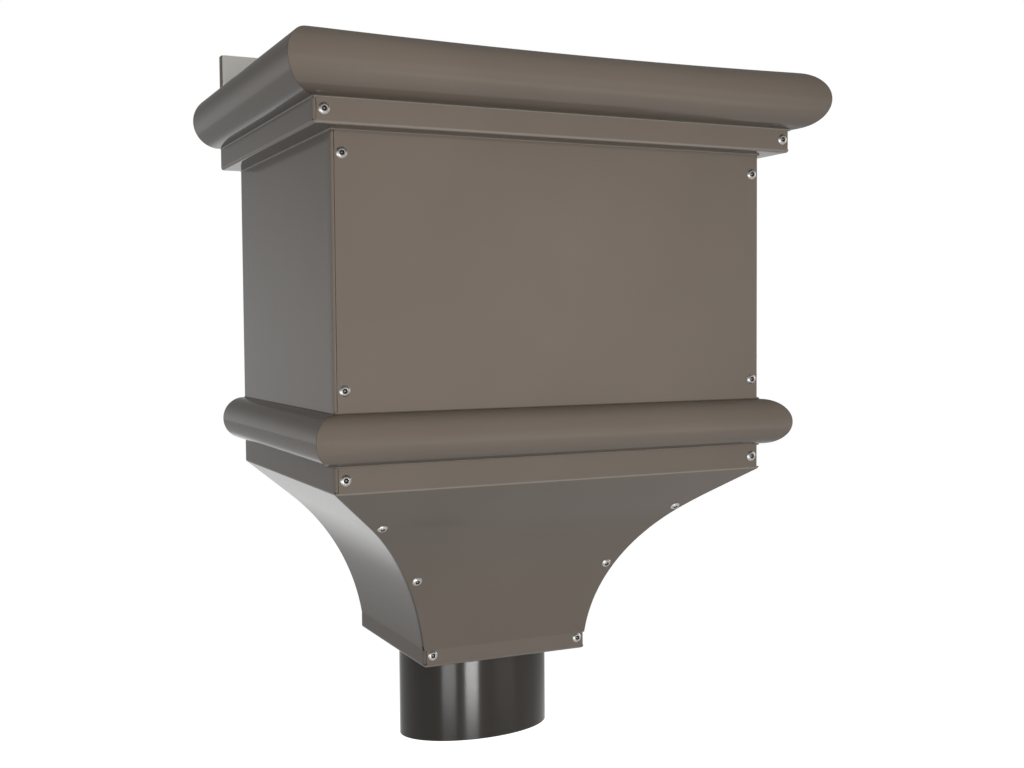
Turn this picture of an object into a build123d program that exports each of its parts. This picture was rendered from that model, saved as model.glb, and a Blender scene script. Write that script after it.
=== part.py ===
"""Rainwater hopper in folded sheet, with a moulded rim, a waist roll and a concave funnel.

A folded front and two folded sides share one moulded profile and meet in mitres. Tabs turned from
the sides lie behind the front and take the blind rivets. A recessed back plate closes the hopper and
rises above the rim to be screwed to a wall, and a round spigot leaves through the outlet plate.

Millimetres. X runs to the right along the front, Y towards the wall and Z up. The origin is midway
between the two wall fixings, on the rear face of the back plate.
"""

import os
from math import cos, radians, sin, sqrt, tan

from build123d import *

# Sheet
sheet = 1.0
bend = 0.8  # inside radius of a fold
seam = 0.2  # open width of a mitre, along X or Y
joint_gap = 0.1  # sealed gap between sheets that only butt

# Body
body_width = 280.0
body_depth = 206.4  # from the wall to the front face
body_height = 154.6

# Cornice, from the body's face outwards
fillet_projection = 13.5
fillet_height = 14.4
cornice_roll_radius = 17.35
roll_flat = 0.2  # straight run between a fold and the start of a roll
rim_return = 13.5  # level top, from the crown of the roll in to the hem
rim_hem = 9.0

# Waist
waist_roll_radius = 14.15
waist_band_height = 15.7

# Funnel and outlet collar
funnel_slope = 39.5  # degrees below level, in the straight upper part of the front and left side
funnel_straight = 40.5
right_funnel_slope = 33.5  # the right side was formed a little hollower
right_funnel_straight = 29.0
funnel_height = 114.2
collar_height = 11.2
collar_side_margin = 7.2  # from the spigot out to the collar's side faces
collar_front_margin = 7.1  # from the spigot out to the collar's front face
ledge = 4.5  # inward turn that carries the outlet plate

# Tabs turned from the side sheets
tab_width = 12.0
tab_leg = 5.0  # stretch of side sheet that is modelled with the tab's fold
front_edge_set = 1.6  # the front sheet's cut edge stops this far short of the corner

# Back plate
upstand_height = 27.0
edge_return = 7.5  # from the plate's front face back to the wall
plate_neck = 8.0  # how far the upstand's full width runs down inside the rim
fixing_spacing = 200.0
fixing_diameter = 7.0
fixing_drop = 13.0  # below the plate's top edge

# Outlet spigot
spigot_diameter = 101.0
spigot_length = 60.0  # below the collar, on the axis
spigot_flange = 4.0
spigot_flare = 2.0  # slant between the tube and its flange
spigot_wall_gap = 16.0  # from the wall to the spigot
mouth_slant = 7.6  # degrees
mouth_turn = 15.0  # the mouth's high side, turned from the front to the right

# Blind rivets, of which the heads are modelled
rivet_head_radius = 3.2
rivet_crown_radius = 1.9
rivet_head_height = 1.1
rivet_clearance = 0.05  # under a head, which is flat, on a hollow face

# Rivet places
rivet_edge = 5.8  # in from the side's outer face
hip_rivet_edge = 6.5  # in from a funnel hip
cornice_rivet_rise = 7.9  # above the fillet's lower edge
body_rivet_margin = 12.8  # from the body's upper and lower folds
collar_rivet_rise = 7.6  # above the collar's lower edge
hip_rivet_runs = (40.0, 93.0)  # down the funnel's face from the waist fold

# Levels
z_top = fixing_drop
z_rim = z_top - upstand_height
z_cornice_foot = z_rim - 2 * cornice_roll_radius
z_soffit = z_cornice_foot - fillet_height
z_waist = z_soffit - body_height
z_band = z_waist - 2 * waist_roll_radius
z_funnel = z_band - waist_band_height
z_collar = z_funnel - funnel_height
z_base = z_collar - collar_height
z_mouth = z_base - spigot_length

# Planes and shared sizes
half_width = body_width / 2
y_wall = edge_return - sheet
y_plate_front = -sheet
y_front = y_wall - body_depth
spigot_radius = spigot_diameter / 2
y_spigot = y_wall - spigot_wall_gap - spigot_radius
side_inset = half_width - spigot_radius - collar_side_margin
front_inset = y_spigot - spigot_radius - collar_front_margin - y_front
fold = bend + sheet  # outside radius of a fold
q_cornice = fillet_projection + bend + roll_flat
q_waist = bend + roll_flat
q_hem = q_cornice - rim_return
reach_out = q_cornice + cornice_roll_radius + sheet
reach_in = ledge + fold
front_funnel = (funnel_slope, funnel_straight, front_inset)
left_funnel = (funnel_slope, funnel_straight, side_inset)
right_funnel = (right_funnel_slope, right_funnel_straight, side_inset)

# Flat stretches where a tab turns the corner: projection of the front and side, lower and upper end
tab_zones = {
    "fillet": (fillet_projection, fillet_projection, z_soffit + fold, z_cornice_foot - fold),
    "body": (0.0, 0.0, z_waist + fold, z_soffit - fold),
    "band": (0.0, 0.0, z_funnel + fold, z_band - fold),
    "collar": (-front_inset, -side_inset, z_base + fold, z_collar - bend),
}

# Corners of the front and a side in plan, with the levels that each holds for
corners = [
    (half_width, y_front, z_funnel, z_top),
    (half_width - side_inset, y_front + front_inset, z_base - sheet, z_collar),
]

front_plane = Plane(origin=(0, y_front, 0), x_dir=(0, -1, 0), z_dir=(-1, 0, 0))
left_plane = Plane(origin=(-half_width, y_wall, 0), x_dir=(-1, 0, 0), z_dir=(0, 1, 0))


def box_between(low, high):
    """A box given by its two corners."""
    centre = [(a + b) / 2 for a, b in zip(low, high)]
    lengths = [b - a for a, b in zip(low, high)]
    return Pos(*centre) * Box(*lengths)


def roll(q, z_crown, radius):
    """Half-round that leaves and rejoins the profile level."""
    return CenterArc((q, z_crown - radius), radius, 90, -180)


def slope_direction(funnel):
    """Direction down the funnel's straight upper part."""
    angle = radians(funnel[0])
    return (-cos(angle), -sin(angle))


def slope_end(funnel):
    """Point where the funnel's straight upper part runs into its hollow curve."""
    along_q, along_z = slope_direction(funnel)
    return (along_q * funnel[1], z_funnel + along_z * funnel[1])


def hollow_arc(funnel):
    """Concave curve from the end of the slope to the collar."""
    return TangentArc(slope_end(funnel), (-funnel[2], z_collar), tangent=slope_direction(funnel))


def funnel_projection(funnel, z):
    """Projection q of the funnel's face at this height."""
    if z > slope_end(funnel)[1]:
        return (z - z_funnel) / tan(radians(funnel[0]))
    arc = hollow_arc(funnel)
    return arc.arc_center.X - sqrt(arc.radius**2 - (z - arc.arc_center.Y) ** 2)


def moulding_edges(funnel):
    """Outer line of the moulded profile, in projection q and height z, from crown to collar."""
    upper = FilletPolyline(
        (q_cornice, z_cornice_foot),
        (fillet_projection, z_cornice_foot),
        (fillet_projection, z_soffit),
        (0, z_soffit),
        (0, z_waist),
        (q_waist, z_waist),
        radius=[bend, fold, bend, bend],
    )
    lower = FilletPolyline(
        (q_waist, z_band), (0, z_band), (0, z_funnel), slope_end(funnel), radius=[bend, fold]
    )
    return [
        roll(q_cornice, z_rim, cornice_roll_radius),
        upper,
        roll(q_waist, z_waist, waist_roll_radius),
        lower,
        hollow_arc(funnel),
    ]


def joined(pieces):
    """One wire from lines and arcs that follow each other."""
    edges = [edge for piece in pieces for edge in piece.edges()]
    return Wire(edges)


def skin_line(funnel):
    """Whole outer line of the front or a side, from the rim's hem to the collar's ledge."""
    rim = FilletPolyline((q_hem, z_rim - rim_hem), (q_hem, z_rim), (q_cornice, z_rim), radius=fold)
    q_collar = -funnel[2]
    collar = FilletPolyline(
        (q_collar, z_collar), (q_collar, z_base), (q_collar - ledge, z_base), radius=fold
    )
    return joined([rim, *moulding_edges(funnel), collar])


def funnel_line(funnel):
    """Outer line of the funnel's face alone, from the waist fold to the collar."""
    return joined([Line((0, z_funnel), slope_end(funnel)), hollow_arc(funnel)])


def under(line, depth):
    """Section between a line and its parallel at this depth inside the sheet."""
    return make_face(line.offset_2d(depth, side=Side.RIGHT, closed=True))


def between(line, upper_depth, lower_depth):
    """Section of a layer that lies between two depths under a line."""
    return under(line, lower_depth) - under(line, upper_depth)


def front_mitre(x_corner, y_corner, low, high):
    """Space between the front sheet's two mitre planes, over the levels of one pair of corners."""
    right_end = [
        (x_corner + reach_out - seam / 2, y_corner - reach_out),
        (x_corner - reach_in - seam / 2, y_corner + reach_in),
    ]
    left_end = [(-x, y) for x, y in reversed(right_end)]
    return Pos(0, 0, low) * extrude(make_face(Polyline(*right_end, *left_end, close=True)), high - low)


def left_mitre(x_corner, y_corner, low, high):
    """Space from a left side's mitre plane back to the wall, over the levels of one corner."""
    outer = -x_corner - reach_out
    inner = -x_corner + reach_in
    plan = make_face(
        Polyline(
            (outer, y_corner - reach_out + seam / 2),
            (inner, y_corner + reach_in + seam / 2),
            (inner, y_wall),
            (outer, y_wall),
            close=True,
        )
    )
    return Pos(0, 0, low) * extrude(plan, high - low)


def funnel_slab():
    """Everything between the waist fold and the collar, where the hips are lapped, not mitred."""
    reach = half_width + reach_out
    return box_between((-reach, y_front - reach_out, z_collar), (reach, y_wall, z_funnel))


def inside_side(funnel):
    """Space inside a left side's funnel face, as far as the middle of the hopper."""
    line = funnel_line(funnel)
    closing = Polyline(line @ 1, (-half_width, z_collar), (-half_width, z_funnel), line @ 0)
    return extrude(left_plane * make_face([*line.edges(), *closing.edges()]), -(body_depth + reach_out))


def behind_front():
    """Space behind the front sheet's funnel face."""
    inner = funnel_line(front_funnel).offset_2d(sheet + joint_gap, side=Side.RIGHT, closed=False)
    lower, upper = sorted((inner @ 0, inner @ 1), key=lambda point: point.Y)
    closing = Polyline(
        lower,
        (lower.X, z_collar - fold),
        (-body_depth, z_collar - fold),
        (-body_depth, z_funnel + fold),
        (upper.X, z_funnel + fold),
        upper,
    )
    section = make_face([*inner.edges(), *closing.edges()])
    return extrude(front_plane * section, half_width + reach_out, both=True)


def front_space():
    """Space of the front sheet: mitred above and below, lapped over the sides at the hips."""
    hips = inside_side(left_funnel) + mirror(inside_side(right_funnel), about=Plane.YZ)
    return hips + [front_mitre(*corner) for corner in corners]


def side_space():
    """Space of a left side: mitred above and below, stopped behind the front at the hip."""
    return (behind_front() & funnel_slab()) + [left_mitre(*corner) for corner in corners]


def hip_rivet_seats():
    """Planes of the rivets beside the two hips, square to the front's hollow face."""
    line = funnel_line(front_funnel)
    seats = []
    for run in hip_rivet_runs:
        q, z, _ = line.position_at(run, position_mode=PositionMode.LENGTH)
        along_q, along_z, _ = line.tangent_at(run, position_mode=PositionMode.LENGTH)
        for side, funnel in ((-1, left_funnel), (1, right_funnel)):
            x = side * (half_width + funnel_projection(funnel, z) - hip_rivet_edge)
            seats.append(Plane(origin=(x, y_front - q, z), x_dir=(1, 0, 0), z_dir=(0, along_z, along_q)))
    return seats


def flat_rivet_seats():
    """Planes of the rivets at the two ends of the front's flat stretches."""
    heights = {
        "fillet": [z_soffit + cornice_rivet_rise],
        "body": [z_soffit - body_rivet_margin, z_waist + body_rivet_margin],
        "band": [(z_band + z_funnel) / 2],
        "collar": [z_base + collar_rivet_rise],
    }
    seats = []
    for zone, (q_front, q_side, _, _) in tab_zones.items():
        for z in heights[zone]:
            for side in (-1, 1):
                x = side * (half_width + q_side - rivet_edge)
                seats.append(Plane(origin=(x, y_front - q_front, z), x_dir=(1, 0, 0), z_dir=(0, -1, 0)))
    return seats


def rivet_seats():
    """Planes of all the rivets, with Z out of the sheet."""
    return [*flat_rivet_seats(), *hip_rivet_seats()]


def front_sheet():
    """Front, folded from one sheet from the rim's hem to the collar's ledge."""
    section = under(skin_line(front_funnel), sheet)
    body = extrude(front_plane * section, half_width + reach_out, both=True) & front_space()
    far = half_width + reach_out
    for q_front, q_side, low, high in tab_zones.values():
        edge = half_width + q_side - front_edge_set
        y_face = y_front - q_front
        for side in (1, -1):
            near_x, far_x = sorted((side * edge, side * far))
            body -= box_between((near_x, y_face - sheet, low), (far_x, y_face + 2 * sheet, high))
    return body


def corner_tab(q_front, q_side, low, high):
    """Fold at the left front corner: a stretch of the side and the tab behind the front."""
    x_side = -half_width - q_side
    y_tab = y_front - q_front + sheet
    line = joined(
        [
            FilletPolyline(
                (x_side, y_tab + tab_leg), (x_side, y_tab), (x_side + tab_width, y_tab), radius=fold
            )
        ]
    )
    section = make_face(line.offset_2d(sheet, side=Side.LEFT, closed=True))
    return Pos(0, 0, low) * extrude(section, high - low)


def hip_tab(funnel):
    """Tab behind the front's hollow face, along the left hip."""
    reach = half_width + reach_out
    tab_depth = sheet + joint_gap
    layer = between(funnel_line(front_funnel), tab_depth, tab_depth + sheet)
    strip = between(funnel_line(funnel), sheet / 2, tab_width)
    behind = extrude(front_plane * layer, reach, both=True)
    beside = extrude(left_plane * strip, -(body_depth + reach_out))
    height_limit = box_between(
        (-reach, y_front - reach_out, z_collar + bend), (reach, y_wall, z_funnel - fold)
    )
    return behind & beside & height_limit


def side_sheet(funnel):
    """Left side, folded from one sheet, with the tabs that it turns behind the front."""
    body = extrude(left_plane * under(skin_line(funnel), sheet), -(body_depth + reach_out))
    body = body & side_space()
    for q_front, q_side, low, high in tab_zones.values():
        x_side = -half_width - q_side
        y_fold = y_front - q_front + sheet + tab_leg
        body -= box_between((x_side - sheet, y_front - reach_out, low), (x_side + 2 * sheet, y_fold, high))
    rim_notch = box_between(
        (-half_width - fillet_projection - joint_gap, y_plate_front - joint_gap, z_rim - rim_hem - sheet),
        (0, y_wall + sheet, z_rim + sheet),
    )
    body -= rim_notch
    tabs = [corner_tab(*zone) for zone in tab_zones.values()]
    return body + tabs + hip_tab(funnel)


def folded_strip(half, low, high):
    """Stretch of the back plate whose two upright edges turn back to the wall."""
    line = joined(
        [
            FilletPolyline(
                (-half, y_wall),
                (-half, y_plate_front),
                (half, y_plate_front),
                (half, y_wall),
                radius=fold,
            )
        ]
    )
    section = make_face(line.offset_2d(sheet, side=Side.LEFT, closed=True))
    return Pos(0, 0, low) * extrude(section, high - low)


def half_panel(funnel):
    """Left half of the back plate's panel, which fills the profile inside a side sheet."""
    inner = joined(moulding_edges(funnel)).offset_2d(sheet + joint_gap, side=Side.RIGHT, closed=False)
    foot, crown = sorted((inner @ 0, inner @ 1), key=lambda point: point.Y)
    z_foot = z_base + sheet + joint_gap
    centre = -half_width
    clip = (foot.X, z_foot + bend)  # clears the fold of the ledge
    closing = Polyline(crown, (centre, crown.Y), (centre, z_foot), (foot.X - bend, z_foot), clip, foot)
    section = make_face([*inner.edges(), *closing.edges()])
    return Pos(0, -y_wall, 0) * extrude(left_plane * section, -sheet)


def back_plate():
    """Recessed back: a panel that fills the profile and an upstand with turned edges."""
    panel = half_panel(left_funnel) + mirror(half_panel(right_funnel), about=Plane.YZ)
    neck_half = half_width + fillet_projection - fold
    z_upstand = z_rim + joint_gap
    panel += box_between((-neck_half, y_plate_front, z_rim - plate_neck), (neck_half, 0, z_upstand + fold))
    body_half = half_width - sheet - joint_gap
    _, _, low, high = tab_zones["body"]
    for side in (1, -1):
        trim = sorted((side * (body_half - fold), side * (body_half + sheet)))
        panel -= box_between((trim[0], y_plate_front - sheet, low), (trim[1], sheet, high))
    panel += folded_strip(body_half, low, high)
    panel += folded_strip(half_width + fillet_projection, z_upstand, z_top)
    for side in (1, -1):
        hole = Cylinder(fixing_diameter / 2, 4 * sheet, rotation=(90, 0, 0))
        panel -= Pos(side * fixing_spacing / 2, 0, 0) * hole
    return panel


def outlet_plate():
    """Flat plate on the collar's ledges, with a hole that clears the spigot's flare."""
    half = half_width - side_inset - sheet - bend - joint_gap
    y_near = y_front + front_inset + 2 * sheet + joint_gap
    y_far = y_plate_front - joint_gap
    z_ledge = z_base + sheet
    plate = box_between((-half, y_near, z_ledge), (half, y_far, z_ledge + sheet))
    hole = Cylinder(spigot_radius + spigot_flare + joint_gap, 4 * sheet)
    return plate - Pos(0, y_spigot, z_ledge) * hole


def outlet_spigot():
    """Round tube, flared over the outlet plate and cut on a slant at the mouth."""
    z_seat = z_base + 2 * sheet
    drop = z_seat - z_mouth + spigot_radius
    line = Polyline(
        (spigot_radius, z_seat - drop),
        (spigot_radius, z_seat - spigot_flare),
        (spigot_radius + spigot_flare, z_seat),
        (spigot_radius + spigot_flange, z_seat),
    )
    wall = line.offset_2d(sheet, kind=Kind.INTERSECTION, side=Side.LEFT, closed=True)
    tube = revolve(Plane.XZ * make_face(wall), Axis.Z)
    cut_plane = Location((0, 0, z_mouth), (0, 0, mouth_turn)) * Location((0, 0, 0), (-mouth_slant, 0, 0))
    waste_size = 4 * spigot_diameter
    waste = cut_plane * Pos(0, 0, -waste_size / 2) * Box(waste_size, waste_size, waste_size)
    return Pos(0, y_spigot, 0) * (tube - waste)


def rivets():
    """Heads of the blind rivets, one at each seat."""
    base = (Align.CENTER, Align.CENTER, Align.MIN)
    head = Cone(rivet_head_radius, rivet_crown_radius, rivet_head_height, align=base)
    return Compound(children=[seat * Pos(0, 0, rivet_clearance) * head for seat in rivet_seats()])


nodes = {
    "front_sheet": front_sheet(),
    "left_side_sheet": side_sheet(left_funnel),
    "right_side_sheet": mirror(side_sheet(right_funnel), about=Plane.YZ),
    "back_plate": back_plate(),
    "outlet_plate": outlet_plate(),
    "outlet_spigot": outlet_spigot(),
    "rivets": rivets(),
}

os.makedirs("parts", exist_ok=True)
for name, shape in nodes.items():
    export_step(shape, f"parts/{name}.step")
    print(name, len(shape.solids()), "solids", round(shape.volume), "mm3")
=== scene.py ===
# %% [markdown]
# # A rainwater hopper in folded, riveted sheet
# A hopper head hangs on a wall under the end of a gutter, takes the water in at its open top and sends
# it down a pipe. This one is three bent sheets, a back plate and a short tube, held with blind rivets.
# The CAD model gives every piece its place, and this lesson puts a finished surface over that frame.

# %% Load the frame
import math
from collections import namedtuple

import bmesh
import bpy
from mathutils import Matrix, Vector


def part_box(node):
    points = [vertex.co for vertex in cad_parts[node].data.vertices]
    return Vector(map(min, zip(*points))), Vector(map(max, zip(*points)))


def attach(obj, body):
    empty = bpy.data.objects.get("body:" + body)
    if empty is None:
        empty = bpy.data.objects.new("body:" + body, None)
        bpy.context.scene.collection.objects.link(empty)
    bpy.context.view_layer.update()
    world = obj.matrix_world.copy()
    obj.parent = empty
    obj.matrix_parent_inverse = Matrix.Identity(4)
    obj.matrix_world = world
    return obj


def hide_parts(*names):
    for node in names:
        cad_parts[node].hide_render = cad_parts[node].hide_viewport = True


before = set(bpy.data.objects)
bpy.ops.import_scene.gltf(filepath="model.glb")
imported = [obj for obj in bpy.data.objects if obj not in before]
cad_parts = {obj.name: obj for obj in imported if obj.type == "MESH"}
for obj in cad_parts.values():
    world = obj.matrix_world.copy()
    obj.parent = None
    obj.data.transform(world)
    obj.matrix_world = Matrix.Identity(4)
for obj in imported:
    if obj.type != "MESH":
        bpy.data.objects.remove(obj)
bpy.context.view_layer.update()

MM = 0.001
print("CAD nodes:", ", ".join(sorted(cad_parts)))

# %% [markdown]
# ## Sizes
# Lengths are in millimetres until a mesh is written. The outline of each piece is read from the frame,
# so the scene can't drift from the CAD. Only what a box can't tell is written here: the thickness of the
# sheet, the radius of a fold, and the steps of the moulded profile.

# %% Sizes of the sheet and its moulded profile
def node_box(node):
    """Lowest and highest corner of a CAD node, in millimetres."""
    low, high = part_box(node)
    return low / MM, high / MM


sheet = 1.0
bend = 0.8  # inside radius of a fold
fold = bend + sheet
seam = 0.2  # open width of a mitre
fit_gap = 0.1
tab_gap = 0.05  # between the front and the tab riveted behind it

cornice_radius = 17.35
waist_radius = 14.15
fillet_out = 13.5  # step of the moulding under the cornice roll
fillet_height = 14.4
cornice_out = fillet_out + bend + 0.2
waist_out = bend + 0.2
rim_return = 13.5
rim_hem = 9.0
body_height = 154.6
band_height = 15.7
collar_height = 11.2
collar_margin = 7.2  # from the spigot to the collar's face
ledge = 4.5
spigot_flange = 4.0

front_low, front_high = node_box("front_sheet")
plate_low, plate_high = node_box("back_plate")
spigot_low, spigot_high = node_box("outlet_spigot")

half_width = round(front_high.x + seam / 2 - cornice_out - cornice_radius, 1)
y_wall = plate_high.y
y_front = round(front_low.y + cornice_out + cornice_radius, 1)
spigot_radius = round((spigot_high.x - spigot_low.x) / 2, 1) - spigot_flange
y_spigot = (spigot_low.y + spigot_high.y) / 2
inset = half_width - spigot_radius - collar_margin  # of the collar, from the body's faces

z_rim = front_high.z
z_cornice_foot = z_rim - 2 * cornice_radius
z_soffit = z_cornice_foot - fillet_height
z_waist = z_soffit - body_height
z_band = z_waist - 2 * waist_radius
z_funnel = z_band - band_height
z_base = front_low.z
z_collar = z_base + collar_height
print(f"body {2 * half_width:.1f} wide, front at y {y_front:.1f}")
print(f"rim at z {z_rim:.1f}, base at z {z_base:.1f}")

# %% [markdown]
# ## The camera
# The camera stands where the photographer stood: to the left, below the rim, looking slightly down.
# It comes first, because every later choice is judged through it.

# %% Camera
view_width = 1024  # pixels across the picture
sensor_width = 36.0
lens_pixels = 1267.7
camera_place = Vector((-345.5, -861.9, -169.8)) * MM
camera_yaw = math.radians(25.23)
camera_pitch = math.radians(-2.648)
camera_roll = math.radians(-0.431)

ahead = Vector((
    math.sin(camera_yaw) * math.cos(camera_pitch),
    math.cos(camera_yaw) * math.cos(camera_pitch),
    math.sin(camera_pitch),
))
level_right = Vector((math.cos(camera_yaw), -math.sin(camera_yaw), 0))
level_up = level_right.cross(ahead)
right = math.cos(camera_roll) * level_right + math.sin(camera_roll) * level_up
up = right.cross(ahead)

camera_data = bpy.data.cameras.new("camera")
camera_data.sensor_fit = "HORIZONTAL"
camera_data.sensor_width = sensor_width
camera_data.lens = sensor_width * lens_pixels / view_width
camera = bpy.data.objects.new("camera", camera_data)
camera_turn = Matrix((right, up, -ahead)).transposed().to_4x4()
camera.matrix_world = Matrix.Translation(camera_place) @ camera_turn
bpy.context.scene.collection.objects.link(camera)
bpy.context.scene.camera = camera
print(f"lens {camera_data.lens:.2f} mm")

# %% [markdown]
# ## Finishes
# The sheet is satin bronze outside, has a thin pale coat on its back, and a dark edge where it was sheared.
# The paint is lighter over the folds, partly worn thin and partly a painted highlight, and darker in the
# grooves as painted shade, so each sheet carries two attributes that say where. The rivets were never
# painted, and their bores are lined with painted shade. The patterns read Object coordinates, in metres,
# so a noise of scale 1000 has grains of about a millimetre.

# %% Helpers for node finishes
noise_low, noise_high = 0.3, 0.7  # most of a noise lies between these


def new_finish(name):
    """A material with its shader and a texture coordinate, ready for more nodes."""
    material = bpy.data.materials.new(name)
    material.use_nodes = True
    nodes = material.node_tree.nodes
    shader = nodes["Principled BSDF"]
    place = nodes.new("ShaderNodeTexCoord")
    return material, material.node_tree, shader, place.outputs["Object"]


def noise(tree, place, scale, detail=2.0, stretch=(1, 1, 1)):
    """Noise on Object coordinates, drawn out along an axis where stretch is below 1."""
    mapping = tree.nodes.new("ShaderNodeMapping")
    mapping.inputs["Scale"].default_value = stretch
    tree.links.new(place, mapping.inputs["Vector"])
    texture = tree.nodes.new("ShaderNodeTexNoise")
    texture.inputs["Scale"].default_value = scale
    texture.inputs["Detail"].default_value = detail
    tree.links.new(mapping.outputs["Vector"], texture.inputs["Vector"])
    return texture.outputs["Fac"]


def ramp(tree, value, low_colour, high_colour):
    """Colours from the low to the high end of a noise."""
    node = tree.nodes.new("ShaderNodeValToRGB")
    node.color_ramp.elements[0].position = noise_low
    node.color_ramp.elements[1].position = noise_high
    node.color_ramp.elements[0].color = (*low_colour, 1)
    node.color_ramp.elements[1].color = (*high_colour, 1)
    tree.links.new(value, node.inputs["Fac"])
    return node.outputs["Color"]


def spread(tree, value, low, high):
    """A noise spread over low to high."""
    node = tree.nodes.new("ShaderNodeMapRange")
    node.inputs["From Min"].default_value = noise_low
    node.inputs["From Max"].default_value = noise_high
    node.inputs["To Min"].default_value = low
    node.inputs["To Max"].default_value = high
    tree.links.new(value, node.inputs["Value"])
    return node.outputs["Result"]


def bump(tree, shader, height, distance):
    """Relief as deep as a distance in metres."""
    node = tree.nodes.new("ShaderNodeBump")
    node.inputs["Distance"].default_value = distance
    node.inputs["Strength"].default_value = 1.0
    tree.links.new(height, node.inputs["Height"])
    tree.links.new(node.outputs["Normal"], shader.inputs["Normal"])


def tint(colour, factor):
    return tuple(channel * factor for channel in colour)


def mottled(name, grain, colours, rough_grain, rough, metallic=0.0, stretch=(1, 1, 1)):
    """A finish whose colour and roughness each wander between two values."""
    material, tree, shader, place = new_finish(name)
    patches = noise(tree, place, grain, 3.0, stretch)
    tree.links.new(ramp(tree, patches, *colours), shader.inputs["Base Color"])
    scuffs = noise(tree, place, rough_grain)
    tree.links.new(spread(tree, scuffs, *rough), shader.inputs["Roughness"])
    shader.inputs["Metallic"].default_value = metallic
    return material


# %% Bronze paint, pale back coat, dark edge
bronze = (0.164, 0.134, 0.108)
fold_wear_and_highlight_colour = (0.255, 0.225, 0.195)  # paint stretched thin over a fold, and a painted highlight along it
groove_shade_colour = tint(bronze, 0.25)  # painted shade in a groove
paint_marks = (("painted_groove_shade", 0.7, groove_shade_colour), ("fold_wear_and_highlight", 1.0, fold_wear_and_highlight_colour))
paint_clouds, paint_grain, paint_peel = 9.0, 900.0, 420.0  # noise scales
peel_depth = 0.000012
rough_range = 0.03
mix_from, mix_to, mix_out = 6, 7, 2  # colour sockets of the Mix node


def marked_coat(tree, coat, mark, share, colour):
    """A coat turned towards a colour by a share of the attribute that marks where."""
    where = tree.nodes.new("ShaderNodeAttribute")
    where.attribute_name = mark
    amount = tree.nodes.new("ShaderNodeMath")
    amount.operation = "MULTIPLY"
    amount.inputs[1].default_value = share
    tree.links.new(where.outputs["Fac"], amount.inputs[0])
    blend = tree.nodes.new("ShaderNodeMix")
    blend.data_type = "RGBA"
    blend.inputs[mix_to].default_value = (*colour, 1)
    tree.links.new(amount.outputs["Value"], blend.inputs[0])
    tree.links.new(coat, blend.inputs[mix_from])
    return blend.outputs[mix_out]


def painted_bronze(name, colour, rough):
    """Baked satin paint with the faint peel of a rolled-on coat."""
    material, tree, shader, place = new_finish(name)
    coat = ramp(tree, noise(tree, place, paint_clouds, 3.0), tint(colour, 0.95), tint(colour, 1.05))
    # The coat is darkened in the grooves as painted shade, and lightened over the folds as wear and painted
    # highlight.
    for mark in paint_marks:
        coat = marked_coat(tree, coat, *mark)
    tree.links.new(coat, shader.inputs["Base Color"])
    grain = noise(tree, place, paint_grain)
    satin = spread(tree, grain, rough - rough_range, rough + rough_range)
    tree.links.new(satin, shader.inputs["Roughness"])
    bump(tree, shader, noise(tree, place, paint_peel), peel_depth)
    return material


paint = painted_bronze("bronze_paint", bronze, 0.12)
edge_paint = painted_bronze("dark_sheared_edge", tint(bronze, 0.3), 0.5)
tube_paint = painted_bronze("bronze_tube_paint", tint(bronze, 0.2), 0.16)

back_coat = mottled(
    "pale_back_coat", 30.0, ((0.50, 0.49, 0.45), (0.57, 0.56, 0.52)), 700.0, (0.42, 0.54),
    stretch=(1, 1, 0.15),
)

# %% Rivet aluminium, the steel of its pin and the painted shade in its bore
rivet_metal = mottled(
    "rivet_aluminium", 500.0, ((0.60, 0.59, 0.57), (0.76, 0.745, 0.72)), 1200.0, (0.36, 0.5), 1.0
)
pin_metal = mottled(
    "rivet_pin_steel", 1600.0, ((0.42, 0.41, 0.40), (0.62, 0.61, 0.59)), 2400.0, (0.28, 0.42), 1.0
)
# Painted shade: a near-black finish for the hollow of each bore.
bore_shade = mottled(
    "rivet_bore_painted_shade", 1800.0, ((0.010, 0.009, 0.008), (0.030, 0.026, 0.022)), 2400.0, (0.7, 0.9)
)
print("finishes:", ", ".join(sorted(m.name for m in bpy.data.materials if m.use_nodes)))

# %% [markdown]
# ## The moulded profile
# Seen from the end, each sheet is one long folded strip: a hem inside the rim, a big half-round cornice,
# a square fillet, the flat body, a smaller half-round at the waist, a band, and a hollow funnel that
# ends in a collar. The profile is drawn once as a list of rows. A row has its distance out from the
# body's face (q), its height (z) and the direction that the paint faces, so the inner skin is a sheet's
# thickness back.

# %% Rows of the profile
Row = namedtuple("Row", "q z out_q out_z")
row_step = 5.0
relief = 0.3  # a short cell at each end of a flat stretch, where the corner's tab begins
fold_steps = 8
roll_steps = 64
hollow_steps = 44


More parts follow.
